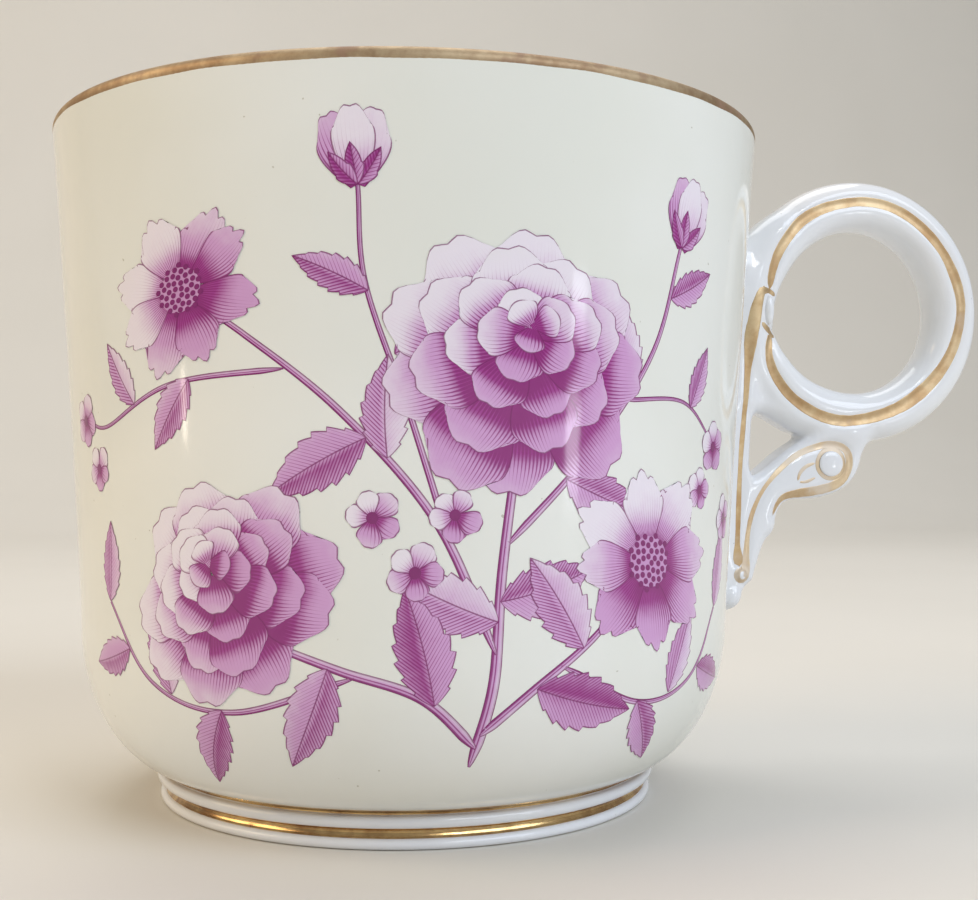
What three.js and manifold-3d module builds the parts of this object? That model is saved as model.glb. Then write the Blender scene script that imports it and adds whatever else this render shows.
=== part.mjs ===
// A small porcelain cup on a foot ring, with a ring handle tied to a strap, a scroll under the ring, and gilt
// lines. Millimetres, +Z up. The cup stands on z = 0, the handle points along +X, and the box round the whole
// cup is centred on the Z axis.

import * as THREE from 'three';
import { mergeVertices } from 'three/addons/utils/BufferGeometryUtils.js';
import Module from 'manifold-3d';

const wasm = await Module();
wasm.setup();

// Driving dimensions. Heights are above the table, thicknesses across the piece they name.

// Bowl
const rimDiameter = 64;
const lipHeight = 59.85;
const lipThickness = 1.6;
const wallThickness = 2.2;
const wallFlare = 1.15;
const bellyDiameter = 58.9;
const cornerHeight = 16;
const cornerSweep = THREE.MathUtils.degToRad(78);
const floorThickness = 3;
const floorDiameter = 36;
const recessRise = 1.3;
const recessChamfer = 0.9;

// Foot ring, stacked upwards from the table: lower bead, gilt hollow, upper bead, gilt line under the bowl
const footSeatDiameter = 45;
const footWidth = 3;
const footInnerDraft = 0.4;
const footLowerBeadHeight = 0.87;
const footHollowHeight = 0.86;
const footUpperBeadHeight = 1.02;
const footLineHeight = 0.35;
const footHollowDepth = 0.3;
const footBeadReach = 0.5;
const footBaseRounding = 0.5;

// Gold lines
const gildingThickness = 0.15;
const rimGildingDrop = 0.2;
const handleLineWidth = 0.7;
const strapLineInset = 1.25;
const strapLineStart = 5;
const strapLineEnd = 2.5;

// Handle. The luting gap is the thin slip joint between two pieces, and widths run along Y.
const lutingGap = 0.3;
const ringDrop = 14.45;
const ringHoleDiameter = 16.4;
const ringBand = 5;
const ringWidth = 5.4;
const ringLineInset = 2.3;
const ringLineWidth = 1.1;
const tieBeadLength = 3.2;
const tieBeadHeight = 0.6;
const strapWidth = 5;
const strapThickness = 3.2;
const strapNeck = 1.1;
const strapTopDrop = 5.85;
const strapTopThickness = 0.6;
const strapTopTaper = 6;
const strapTail = 14.7;
const strapTipThickness = 1.6;
const strapTipRounding = 2.5;
const roundelInset = 3.7;
const roundelDrop = 2.2;
const roundelDiameter = 2.7;
const roundelHeight = 0.5;
const gussetWidth = 3.8;
const gussetRise = 4.6;
const scrollWidth = 4.4;
const scrollStemStart = 3;

// The pierced triangle between strap, gusset and scroll, from the roundel's centre: the heights of its two
// corners on the strap, and its right-hand corner, where gusset and scroll meet under the ring.
const triangleTop = 5.9;
const triangleBottom = -2.4;
const triangleRight = [-3.2, 2.7];
const triangleTopBend = [-6, 4.9];
const triangleBottomBend = [-5.55, 0.6];

// The scroll's lower edge: [out from the strap, up from the strap's tip] as far as the notch, then [x, z]
// from the roundel.
const stemEdge = [[0.4, 4], [0.9, 5.8], [1.3, 6.8]];
const scrollNotch = [1.85, 7.5];
const scrollBelly = [[-6.3, -6], [-5.45, -4.25], [-4.06, -3.66], [-1.8, -3.6]];
const scrollEnd = [[1.7, -2.4], [3, 0.1], [3.1, 2.4]];

// The gold line of the scroll: its distance from the strap, and its way to the roundel along either edge.
const stemLineInset = 0.45;
const stemLineStart = 6;
const stemLineRise = 4;
const upperLine = [[-6.4, -1.75], [-4.2, 0.6], [-2.2, 1.6]];
const lowerLine = [[-5.2, -3], [-3.3, -2.4]];

// How finely round shapes are cut into flat faces
const bowlSides = 48;
const ringSides = 48;
const smallSides = 20;
const wallSteps = 7;
const cornerSteps = 6;
const beadSteps = 3;
const lipSteps = 4;
const strapSteps = 16;
const lineSteps = 20;
const stemSteps = 5;
const curveSteps = 4;
const weldDistance = 1e-5;

// Sizes that follow from the driving dimensions

const rimRadius = rimDiameter / 2;
const bellyRadius = bellyDiameter / 2;
const footSeatRadius = footSeatDiameter / 2;
const footInnerRadius = footSeatRadius - footWidth;
const footLineRadius = footSeatRadius - gildingThickness;
const footHollowRadius = footLineRadius - footHollowDepth;
const footHollowTop = footLowerBeadHeight + footHollowHeight;
const footLineBottom = footHollowTop + footUpperBeadHeight;
const footHeight = footLineBottom + footLineHeight;
const lipRadius = lipThickness / 2;
const lipCentreHeight = lipHeight - lipRadius;
const recessHeight = footHeight + recessRise;
const floorHeight = recessHeight + floorThickness;
const cornerReach = (bellyRadius - footSeatRadius) / (1 - Math.cos(cornerSweep));
const cornerDrop = (cornerHeight - footHeight) / Math.sin(cornerSweep);
const ringHeight = lipHeight - ringDrop;
const ringHoleRadius = ringHoleDiameter / 2;
const ringOuterRadius = ringHoleRadius + ringBand;
const ringLineRadius = ringOuterRadius - ringLineInset;

// The outer wall: an elliptical corner up to the belly, then nearly straight, opening faster towards the rim.
function wallRadius(height) {
	if (height < cornerHeight) {
		const below = Math.min(1, (cornerHeight - height) / cornerDrop);
		return bellyRadius - cornerReach * (1 - Math.sqrt(1 - below ** 2));
	}
	const rise = (height - cornerHeight) / (lipCentreHeight - cornerHeight);
	return bellyRadius + (rimRadius - bellyRadius) * rise ** wallFlare;
}

const ringCentreX = wallRadius(ringHeight) + lutingGap + strapNeck + lutingGap + ringOuterRadius;
const roundelX = ringCentreX - roundelInset;
const roundelZ = ringHeight - ringOuterRadius - roundelDrop;
const strapTopHeight = lipHeight - strapTopDrop;
const strapTipHeight = roundelZ - strapTail;
const axisX = (rimRadius + gildingThickness - ringCentreX - ringOuterRadius) / 2;

// Materials

function finish(color, roughness, metalness) {
	return new THREE.MeshStandardMaterial({ color, roughness, metalness });
}
const ivoryGlaze = () => finish('#e9e8d8', 0.15, 0);
const whiteGlaze = () => finish('#eef0f3', 0.15, 0);
const gold = () => finish('#c9a05a', 0.32, 1);

// Solids

function toSolid(geometry) {
	const bare = geometry.clone();
	bare.deleteAttribute('normal');
	bare.deleteAttribute('uv');
	const merged = mergeVertices(bare, weldDistance);
	const vertProperties = new Float32Array(merged.attributes.position.array);
	const triVerts = new Uint32Array(merged.index.array);
	return new wasm.Manifold(new wasm.Mesh({ numProp: 3, vertProperties, triVerts }));
}

function toGeometry(solid) {
	const { vertProperties, triVerts } = solid.getMesh();
	const geometry = new THREE.BufferGeometry();
	geometry.setAttribute('position', new THREE.BufferAttribute(vertProperties, 3));
	geometry.setIndex(new THREE.BufferAttribute(triVerts, 1));
	return geometry;
}

// A closed outline of [radius, height] pairs, anticlockwise with the radius to the right, turned round Y.
function turned(outline, sides) {
	const points = outline.map(([radius, height]) => new THREE.Vector2(radius, height));
	return new THREE.LatheGeometry(points, sides);
}

// The same outline turned round Z, as on a potter's wheel.
function thrown(outline, sides) {
	return turned(outline, sides).rotateX(Math.PI / 2);
}

// A shape drawn in the handle's plane (x outwards, y upwards), with its thickness between two places along Y.
function plate(shape, yMin, yMax) {
	const options = { depth: yMax - yMin, bevelEnabled: false, curveSegments: curveSteps };
	const geometry = new THREE.ExtrudeGeometry(shape, options);
	return geometry.rotateX(Math.PI / 2).translate(0, yMax, 0);
}

// Evenly spread numbers, ends included.
function spread(from, to, steps) {
	return Array.from({ length: steps + 1 }, (_, i) => from + ((to - from) * i) / steps);
}

// Points on an ellipse from one angle to another, ends included.
function ellipseArc(centre, semiRadius, semiHeight, from, to, steps) {
	return spread(from, to, steps).map((angle) =>
		[centre[0] + semiRadius * Math.cos(angle), centre[1] + semiHeight * Math.sin(angle)]);
}

// Bowl

const lipCentre = [rimRadius - lipRadius, lipCentreHeight];
const rimBandHeight = lipCentreHeight - rimGildingDrop;

// The part of the outline that the rim gilding covers: a little of the wall, the round lip, a little of the
// inside.
const lipOutline = [
	[wallRadius(rimBandHeight), rimBandHeight],
	...ellipseArc(lipCentre, lipRadius, lipRadius, 0, Math.PI, lipSteps),
	[wallRadius(rimBandHeight) - lipThickness, rimBandHeight],
];

// The wall grows from the lip's thickness to its full thickness over the upper half of the bowl.
function innerRadius(height) {
	const upperHalf = (rimBandHeight - cornerHeight) / 2;
	const below = Math.min(1, (rimBandHeight - height) / upperHalf);
	return wallRadius(height) - lipThickness - (wallThickness - lipThickness) * below;
}

function bowl() {
	const wallHeights = spread(cornerHeight, rimBandHeight, wallSteps).slice(1, -1);
	const outerCorner = ellipseArc(
		[bellyRadius - cornerReach, cornerHeight], cornerReach, cornerDrop, -cornerSweep, 0, cornerSteps);
	const floorRadius = floorDiameter / 2;
	const innerCorner = ellipseArc(
		[floorRadius, cornerHeight], innerRadius(cornerHeight) - floorRadius, cornerHeight - floorHeight,
		0, -Math.PI / 2, cornerSteps);
	const outline = [
		[0, recessHeight],
		[footInnerRadius - recessChamfer, recessHeight],
		[footInnerRadius, footHeight],
		...outerCorner,
		...wallHeights.map((height) => [wallRadius(height), height]),
		...lipOutline,
		...wallHeights.toReversed().map((height) => [innerRadius(height), height]),
		...innerCorner,
		[0, floorHeight],
	];
	return thrown(outline, bowlSides);
}

// Foot ring

function footRing() {
	const lowerBead = ellipseArc(
		[footHollowRadius, footLowerBeadHeight / 2], footBeadReach, footLowerBeadHeight / 2,
		-Math.PI / 4, Math.PI / 2, beadSteps);
	const upperBead = ellipseArc(
		[footLineRadius, footHollowTop + footUpperBeadHeight / 2], footBeadReach, footUpperBeadHeight / 2,
		-Math.PI / 2, Math.PI / 2, 2 * beadSteps);
	const outline = [
		[footInnerRadius + footInnerDraft, 0],
		[footHollowRadius - footBaseRounding, 0],
		...lowerBead,
		[footHollowRadius, footHollowTop],
		...upperBead,
		[footLineRadius, footHeight],
		[footInnerRadius, footHeight],
		[footInnerRadius + footInnerDraft, 0],
	];
	return thrown(outline, bowlSides);
}

// A gold line round a straight stretch of the foot.
function footGilding(inside, bottom, top) {
	const outside = inside + gildingThickness;
	const corners = [[inside, bottom], [outside, bottom], [outside, top], [inside, top]];
	return thrown([...corners, corners[0]], bowlSides);
}

// Gold on the rim: the lip's outline, and the same outline moved outwards by the gold's thickness.
function rimGilding() {
	const thicker = lipRadius + gildingThickness;
	const outside = [
		[wallRadius(rimBandHeight) + gildingThickness, rimBandHeight],
		...ellipseArc(lipCentre, thicker, thicker, 0, Math.PI, lipSteps),
		[wallRadius(rimBandHeight) - lipThickness - gildingThickness, rimBandHeight],
	];
	return thrown([...outside, ...lipOutline.toReversed(), outside[0]], bowlSides);
}

// Handle strap

const strapBack = (height) => wallRadius(height) + lutingGap;

function strapFront(height) {
	const ease = (share) => Math.sqrt(1 - (1 - Math.min(1, Math.max(0, share))) ** 2);
	const fromTip = ease((height - strapTipHeight) / strapTipRounding);
	const fromTop = ease((strapTopHeight - height) / strapTopTaper);
	const lower = strapTipThickness + (strapThickness - strapTipThickness) * fromTip;
	const upper = strapTopThickness + (strapThickness - strapTopThickness) * fromTop;
	return strapBack(height) + Math.min(lower, upper);
}

// Where a piece stuck to the front of the strap begins.
const strapSeat = (height) => strapFront(height) + lutingGap;

function outlineShape(points) {
	return new THREE.Shape(points.map(([x, z]) => new THREE.Vector2(x, z)));
}

function strapShape() {
	const roundingEnd = strapTipHeight + strapTipRounding;
	const tipHeights = spread(strapTipHeight, roundingEnd, 2 * beadSteps);
	const heights = [...tipHeights, ...spread(roundingEnd, strapTopHeight, strapSteps).slice(1)];
	const back = heights.map((height) => [strapBack(height), height]);
	const front = heights.map((height) => [strapFront(height), height]);
	return outlineShape([...front, ...back.reverse()]);
}

// Handle ring: a flat crest for the gold line on each face, rounded off to the hole and to the outside.
function ringSection(clearance) {
	const half = ringWidth / 2 + clearance;
	const crestIn = ringLineRadius - ringLineWidth / 2;
	const crestOut = ringLineRadius + ringLineWidth / 2;
	const toHole = crestIn - ringHoleRadius + clearance;
	const toOutside = ringOuterRadius + clearance - crestOut;
	return [
		...ellipseArc([crestIn, 0], toHole, half, Math.PI / 2, (3 * Math.PI) / 2, 2 * beadSteps),
		...ellipseArc([crestOut, 0], toOutside, half, -Math.PI / 2, Math.PI / 2, 2 * beadSteps),
		[crestIn, half],
	];
}

function ring(clearance = 0) {
	return turned(ringSection(clearance), ringSides);
}

// A flat ring of gold on one face of a piece of the given width: side is -1 for the front and 1 for the back.
function gildedCircle(radius, lineWidth, pieceWidth, side, sides) {
	const inside = radius - lineWidth / 2;
	const outside = radius + lineWidth / 2;
	const ends = [(side * pieceWidth) / 2, side * (pieceWidth / 2 + gildingThickness)];
	const [low, high] = ends.sort((a, b) => a - b);
	const corners = [[inside, low], [outside, low], [outside, high], [inside, high]];
	return turned([...corners, corners[0]], sides);
}

// A dome with a flat back at y = 0, rising along the side given, for the tie beads and the roundels.
function dome(radius, height, side) {
	const arc = ellipseArc([0, 0], radius, height, 0, Math.PI / 2, beadSteps);
	const rising = [[0, 0], ...arc.slice(0, -1), [0, height]];
	const outline = side > 0 ? rising : rising.map(([r, y]) => [r, -y]).reverse();
	return turned(outline, smallSides);
}

// What the ring, set in its place with a slip joint all round, takes out of the pieces that carry it.
const ringSeat = toSolid(ring(lutingGap).translate(ringCentreX, 0, ringHeight));

function seatedUnderRing(geometry) {
	return toGeometry(toSolid(geometry).subtract(ringSeat));
}

// A place given from the roundel's centre, and one given from the front of the strap and up from its tip.
const fromRoundel = ([x, z]) => new THREE.Vector2(roundelX + x, roundelZ + z);

function fromStrap([out, rise]) {
	const height = strapTipHeight + rise;
	return new THREE.Vector2(strapSeat(height) + out, height);
}

// Gusset and scroll are drawn on under the ring as far as its gold line, then cut to the ring's seat.
function underRing(fromX, toX) {
	const angle = (x) => -Math.acos((x - ringCentreX) / ringLineRadius);
	const centre = [ringCentreX, ringHeight];
	return ellipseArc(centre, ringLineRadius, ringLineRadius, angle(fromX), angle(toX), cornerSteps);
}

// The web between strap and ring.
function gussetShape() {
	const bottom = roundelZ + triangleTop;
	const top = bottom + gussetRise;
	const topX = ringCentreX - Math.sqrt(ringLineRadius ** 2 - (ringHeight - top) ** 2);
	const bend = fromRoundel(triangleTopBend);
	const right = fromRoundel(triangleRight);
	const shape = new THREE.Shape();
	shape.moveTo(strapSeat(top), top);
	shape.lineTo(strapSeat(bottom), bottom);
	shape.quadraticCurveTo(bend.x, bend.y, right.x, right.y);
	underRing(right.x, topX).forEach(([x, z]) => shape.lineTo(x, z));
	shape.closePath();
	return shape;
}

function scrollShape() {
	const stemFoot = strapTipHeight + scrollStemStart;
	const crotch = roundelZ + triangleBottom;
	const bend = fromRoundel(triangleBottomBend);
	const right = fromRoundel(triangleRight);
	const end = fromRoundel(scrollEnd.at(-1));
	const shape = new THREE.Shape();
	shape.moveTo(strapSeat(stemFoot), stemFoot);
	shape.splineThru(stemEdge.map(fromStrap));
	shape.splineThru([fromStrap(scrollNotch), ...[...scrollBelly, ...scrollEnd].map(fromRoundel)]);
	underRing(end.x, right.x + lutingGap).forEach(([x, z]) => shape.lineTo(x, z));
	shape.lineTo(right.x + lutingGap, right.y);
	shape.quadraticCurveTo(bend.x, bend.y, strapSeat(crotch), crotch);
	const stemBack = spread(crotch, stemFoot, stemSteps).slice(1, -1);
	stemBack.forEach((height) => shape.lineTo(strapSeat(height), height));
	shape.closePath();
	return shape;
}

// A ribbon of even width along a smooth curve through the points.
function ribbonShape(points, width) {
	const curve = new THREE.SplineCurve(points);
	const edge = (side) => spread(0, 1, lineSteps).map((share) => {
		const place = curve.getPointAt(share);
		const along = curve.getTangentAt(share);
		return [place.x - (side * along.y * width) / 2, place.y + (side * along.x * width) / 2];
	});
	return outlineShape([...edge(-1), ...edge(1).reverse()]);
}

// A gold film on the front (side -1) or back (side 1) of a piece of the given width.
function film(shape, width, side) {
	const near = width / 2;
	const far = near + gildingThickness;
	return side < 0 ? plate(shape, -far, -near) : plate(shape, near, far);
}

function strapGilding(side) {
	const from = strapTipHeight + strapLineStart;
	const to = ringHeight - strapLineEnd;
	const points = spread(from, to, stemSteps).map((height) =>
		new THREE.Vector2(strapFront(height) - strapLineInset, height));
	return film(ribbonShape(points, handleLineWidth), strapWidth, side);
}

// The scroll's gold: a line up its stem and along its upper edge, a ring round the roundel, and a line along
// its lower edge.
function scrollGilding(side) {
	const eyeRadius = (roundelDiameter + handleLineWidth) / 2;
	const stemRises = [stemLineStart, stemLineStart + stemLineRise];
	const stem = stemRises.map((rise) => fromStrap([stemLineInset, rise]));
	const upper = ribbonShape(
		[...stem, ...upperLine.map(fromRoundel), fromRoundel([0, eyeRadius])], handleLineWidth);
	const lower = ribbonShape([...lowerLine.map(fromRoundel), fromRoundel([0, -eyeRadius])], handleLineWidth);
	const eye = gildedCircle(eyeRadius, handleLineWidth, scrollWidth, side, smallSides);
	eye.translate(roundelX, 0, roundelZ);
	const solids = [film(upper, scrollWidth, side), film(lower, scrollWidth, side), eye].map(toSolid);
	return toGeometry(solids.reduce((whole, solid) => whole.add(solid)));
}

// Assembly

const cup = new THREE.Group();
cup.position.x = axisX;

function add(name, geometry, material) {
	const mesh = new THREE.Mesh(geometry, material);
	mesh.name = name;
	cup.add(mesh);
	return mesh;
}

add('bowl', bowl(), ivoryGlaze());
add('foot_ring', footRing(), whiteGlaze());
add('rim_gilding', rimGilding(), gold());
add('foot_line_gilding', footGilding(footLineRadius, footLineBottom, footHeight), gold());
add('foot_band_gilding', footGilding(footHollowRadius, footLowerBeadHeight, footHollowTop), gold());

add('handle_strap', seatedUnderRing(plate(strapShape(), -strapWidth / 2, strapWidth / 2)), whiteGlaze());
add('handle_ring', ring().translate(ringCentreX, 0, ringHeight), whiteGlaze());
add('handle_gusset', seatedUnderRing(plate(gussetShape(), -gussetWidth / 2, gussetWidth / 2)), whiteGlaze());
add('handle_scroll', seatedUnderRing(plate(scrollShape(), -scrollWidth / 2, scrollWidth / 2)), whiteGlaze());

for (const [face, side] of [['front', -1], ['back', 1]]) {
	const crest = gildedCircle(ringLineRadius, ringLineWidth, ringWidth, side, ringSides);
	add(`ring_gilding_${face}`, crest.translate(ringCentreX, 0, ringHeight), gold());
	add(`strap_gilding_${face}`, strapGilding(side), gold());
	add(`scroll_gilding_${face}`, scrollGilding(side), gold());

	const bead = dome(ringLineWidth / 2, tieBeadHeight, side).scale(1, 1, tieBeadLength / ringLineWidth);
	const beadSeat = side * (ringWidth / 2 + gildingThickness);
	add(`tie_bead_${face}`, bead, whiteGlaze()).position.set(ringCentreX - ringLineRadius, beadSeat, ringHeight);

	const roundel = dome(roundelDiameter / 2, roundelHeight, side);
	add(`roundel_${face}`, roundel, whiteGlaze()).position.set(roundelX, side * scrollWidth / 2, roundelZ);
}

export default cup;
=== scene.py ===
# %% [markdown]
# # A gilt porcelain cup with a ring handle
# The packed CAD part gives the size and the place of every piece. This lesson dresses it for a picture:
# smooth glazed surfaces instead of flat facets, a handle that flows together as pressed clay does, worn
# gold and a purple print. Lengths are in millimetres from the bowl's axis until a mesh is made, because a
# cup is easier to think of from its middle.

# %% Load the frame
import math

import bmesh
import bpy
import numpy as np
from mathutils import Matrix, Vector


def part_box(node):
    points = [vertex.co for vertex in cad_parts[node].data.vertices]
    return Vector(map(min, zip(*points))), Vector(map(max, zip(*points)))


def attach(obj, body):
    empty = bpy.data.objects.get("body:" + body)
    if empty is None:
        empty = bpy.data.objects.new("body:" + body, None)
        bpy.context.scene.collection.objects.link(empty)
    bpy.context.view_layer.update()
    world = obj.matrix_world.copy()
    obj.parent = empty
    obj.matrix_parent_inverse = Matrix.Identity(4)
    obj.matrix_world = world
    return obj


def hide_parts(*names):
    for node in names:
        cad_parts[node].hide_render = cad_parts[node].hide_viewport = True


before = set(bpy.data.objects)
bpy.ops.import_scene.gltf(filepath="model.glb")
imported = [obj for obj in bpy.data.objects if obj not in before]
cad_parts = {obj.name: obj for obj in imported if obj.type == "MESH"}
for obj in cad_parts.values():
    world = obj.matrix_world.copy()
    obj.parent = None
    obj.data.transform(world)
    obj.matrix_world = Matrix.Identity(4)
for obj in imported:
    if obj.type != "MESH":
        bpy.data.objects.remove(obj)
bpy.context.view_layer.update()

# %% [markdown]
# ## Measures from the frame
# What the solids already fix is read from their boxes instead of being typed again, so the dress can't
# drift from them: the rim, the heights of lip and foot, the seat of the foot, and the handle's ring and
# tip.

# %% Measures
MM = 0.001
AXIS_X = sum(corner.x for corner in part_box("bowl")) / 2 / MM


def span(node):
    """The lowest and highest corner of a CAD piece in millimetres, with x counted from the bowl's axis."""
    return [np.round(np.array(corner) / MM - [AXIS_X, 0, 0], 4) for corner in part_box(node)]


(_, _, FOOT_HEIGHT), (RIM, _, LIP_HEIGHT) = span("bowl")
FOOT_SEAT = span("foot_line_gilding")[1][0]
ring_low, ring_high = span("handle_ring")
RING_X, _, RING_Z = (ring_low + ring_high) / 2
RING_RADIUS = (ring_high - ring_low)[0] / 2
TIP_Z = span("handle_strap")[0][2]
measures = dict(rim=RIM, lip=LIP_HEIGHT, foot=FOOT_HEIGHT, seat=FOOT_SEAT, ring=RING_RADIUS, tip=TIP_Z)
print("axis at x", round(AXIS_X, 3), {name: round(float(size), 3) for name, size in measures.items()})

# %% [markdown]
# ## Formulas as materials
# A procedural material is arithmetic on sockets. Wrapping a socket in a small class lets that arithmetic
# be written as ordinary Python, and one method reaches every other kind of node.


# %% Wires
class Wire:
    """An output socket of a material, which adds, subtracts and multiplies like a number."""

    def __init__(self, tree, socket=None):
        self.tree, self.socket = tree, socket

    def node(self, kind, settings=None, inputs=None, output=0):
        """Any node: its type, settings, values or wires for its sockets, and the output to go on from."""
        made = self.tree.nodes.new(kind)
        for key, value in (settings or {}).items():
            setattr(made, key, value)
        for key, value in (inputs or {}).items():
            if isinstance(value, Wire):
                self.tree.links.new(value.socket, made.inputs[key])
            else:
                made.inputs[key].default_value = value
        return Wire(self.tree, made.outputs[output])

    def maths(self, operation, *values):
        """A Math node on numbers and wires."""
        return self.node("ShaderNodeMath", {"operation": operation}, dict(enumerate(values)))

    def __add__(self, other):
        return self.maths("ADD", self, other)

    def __sub__(self, other):
        return self.maths("SUBTRACT", self, other)

    def __rsub__(self, other):
        return self.maths("SUBTRACT", other, self)

    def __mul__(self, other):
        return self.maths("MULTIPLY", self, other)

    __radd__ = __add__
    __rmul__ = __mul__

    def ramp(self, low, high):
        """0 below low, 1 above high, and a smooth step between."""
        ends = {"Value": self, "From Min": low, "From Max": high}
        return self.node("ShaderNodeMapRange", {"interpolation_type": "SMOOTHSTEP"}, ends)

    def blend(self, first, second):
        """A colour between two colours, with this wire as the share of the second."""
        return self.node("ShaderNodeMix", {"data_type": "RGBA"}, {0: self, 6: first, 7: second}, 2)

    def place(self):
        """Where a point lies on the object, in metres."""
        return self.node("ShaderNodeTexCoord", output="Object")

    def noise(self, scale, detail=2.0, roughness=0.5):
        """Soft noise of about 0 to 1 on the object's own coordinates, with scale in features a metre."""
        look = {"Vector": self.place(), "Scale": scale, "Detail": detail, "Roughness": roughness}
        return self.node("ShaderNodeTexNoise", None, look, "Fac")

    def value(self, name):
        """A number that the mesh holds at each of its places."""
        return self.node("ShaderNodeAttribute", {"attribute_name": name}, None, "Fac")

    def bump(self, height, metres):
        """A normal bent by a height of 0 to 1 that stands for so many metres."""
        look = {"Strength": 1.0, "Distance": metres, "Height": height}
        return self.node("ShaderNodeBump", None, look, "Normal")

    def into(self, surface, key):
        """Feed this wire to a socket of the surface shader."""
        self.tree.links.new(self.socket, surface.inputs[key])


print("a wire can", [name for name in vars(Wire) if not name.startswith("_")])

# %% [markdown]
# ## Colours and shaders
# A colour is picked on a screen, whose numbers aren't amounts of light, so it is turned into linear light
# first. Every material then starts from Blender's standard surface shader.


# %% Colours and shaders
def colour(code):
    """Linear red, green, blue and alpha of a colour written as #rrggbb."""
    parts = np.array([int(code[i : i + 2], 16) for i in (1, 3, 5)]) / 255
    return (*np.where(parts <= 0.04045, parts / 12.92, ((parts + 0.055) / 1.055) ** 2.4), 1.0)


def new_material(name):
    """A material, a wire to start its formulas from, and its surface shader."""
    material = bpy.data.materials.new(name)
    material.use_nodes = True
    return material, Wire(material.node_tree), material.node_tree.nodes["Principled BSDF"]


print("half grey in linear light is", round(float(colour("#808080")[0]), 3))

# %% [markdown]
# ## Glaze
# Glaze is a glassy skin over white or ivory clay. It is never quite flat: it pooled and pulled a little
# in the kiln, which bends reflections, and a few iron specks and fine scratches catch the light. Noise of
# several sizes does all of this, so no two places look alike and no picture is needed.

# %% Glaze
POOLING, RIPPLE, GLAZE_RELIEF = 75.0, 420.0, 0.09 * MM
GLASS_IOR = 1.52
IVORY_TONES = ("#eaece8", "#e4e6df", "#8d8468")
WHITE_TONES = ("#e8eaed", "#e1e3e8", "#8f8f92")


def glaze_skin(start, surface):
    """The gloss, waviness and fine wear that every glazed piece shares."""
    wave = start.noise(POOLING, 1.0) + start.noise(RIPPLE, 1.0) * 0.12
    start.bump(wave, GLAZE_RELIEF).into(surface, "Normal")
    rubbed = start.noise(900.0, 4.0, 0.7).ramp(0.62, 0.8)
    (0.06 + start.noise(130.0, 3.0) * 0.05 + rubbed * 0.07).into(surface, "Roughness")
    surface.inputs["IOR"].default_value = GLASS_IOR


def clay(start, pale, deep, speck):
    """The colour under a clear glaze: two close tones in soft clouds, with a few iron specks."""
    cloud = start.noise(38.0, 3.0).ramp(0.3, 0.7)
    specks = start.noise(1500.0, 1.0).ramp(0.79, 0.83)
    return (specks * 0.5).blend(cloud.blend(colour(pale), colour(deep)), colour(speck))


def glaze(name, tones):
    """A glazed clay in its pale tone, its deep tone and the colour of its specks."""
    material, start, surface = new_material(name)
    clay(start, *tones).into(surface, "Base Color")
    glaze_skin(start, surface)
    return material


ivory, white = glaze("ivory_glaze", IVORY_TONES), glaze("white_glaze", WHITE_TONES)
print("glazes", ivory.name, white.name)

# %% [markdown]
# ## Gold
# The gold was brushed on over the glaze and fired, so it is thin, satiny and worn to brown where hands and
# lips have rubbed it. One formula makes every line of it. The lines differ in how much is worn and in how
# matt they are, because some were burnished and some weren't. They also differ in tone: the scroll's gold is
# paler, partly from its own worn gilding and partly as a painted highlight for the light its lower edge
# catches.

# %% Gold
BRUSH_RELIEF = 0.02 * MM


def gold(name, bright, deep, worn, wear, matt):
    """Brushed gold in two tones, rubbed away in patches: wear is about the share that is gone."""
    material, start, surface = new_material(name)
    brushed, slow = start.noise(520.0, 4.0, 0.65), start.noise(110.0, 1.0)
    rubbed = start.noise(260.0, 4.0, 0.6).ramp(0.72 - 0.3 * wear, 0.86 - 0.3 * wear)
    tone = (brushed * 0.55 + slow * 0.45).ramp(0.36, 0.64).blend(colour(bright), colour(deep))
    (rubbed * 0.85).blend(tone, colour(worn)).into(surface, "Base Color")
    (1.0 - rubbed * 0.6).into(surface, "Metallic")
    (matt + brushed * 0.16 + rubbed * 0.1).into(surface, "Roughness")
    start.bump(brushed, BRUSH_RELIEF).into(surface, "Normal")
    return material


handle_gold = gold("handle_gold", "#d2bc98", "#ba9a72", "#c6b094", 0.45, 0.46)
strap_gold = gold("strap_gold", "#d8c29c", "#bd9c72", "#cbb698", 0.55, 0.42)
# The scroll's gold is paler than the others: partly its own worn tone, partly a painted highlight for the
# light on the scroll's lower edge.
scroll_gold_painted_highlight = gold("scroll_gold_painted_highlight", "#e6d4b6", "#ccb08c", "#dccfbe", 0.7, 0.36)
foot_gold = gold("foot_gold", "#d8b882", "#9c744c", "#93664e", 0.4, 0.12)
rim_gold = gold("rim_gold", "#beaa8c", "#9a8064", "#9c7e6a", 0.6, 0.5)
print("golds", [m.name for m in (handle_gold, strap_gold, scroll_gold_painted_highlight, foot_gold, rim_gold)])

# %% [markdown]
# ## From numbers to meshes
# Almost every piece below is a formula sampled on a grid of two parameters, so two helpers are enough.
# One numbers the quads of a grid, with rows or columns that may close on themselves. The other makes the
# object, welds the seam and the poles, and ties it to the frame.


# %% Grids and pieces
def grid_faces(rows, columns, wrap_rows=False, wrap_columns=False):
    """Quads between neighbours of a grid: row r and column c are place number r * columns + c."""
    r = np.arange(rows if wrap_rows else rows - 1)[:, None]
    c = np.arange(columns if wrap_columns else columns - 1)[None, :]
    above, right = (r + 1) % rows, (c + 1) % columns
    corners = [r * columns + c, r * columns + right, above * columns + right, above * columns + c]
    return np.stack(np.broadcast_arrays(*corners), -1).reshape(-1, 4)


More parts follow.
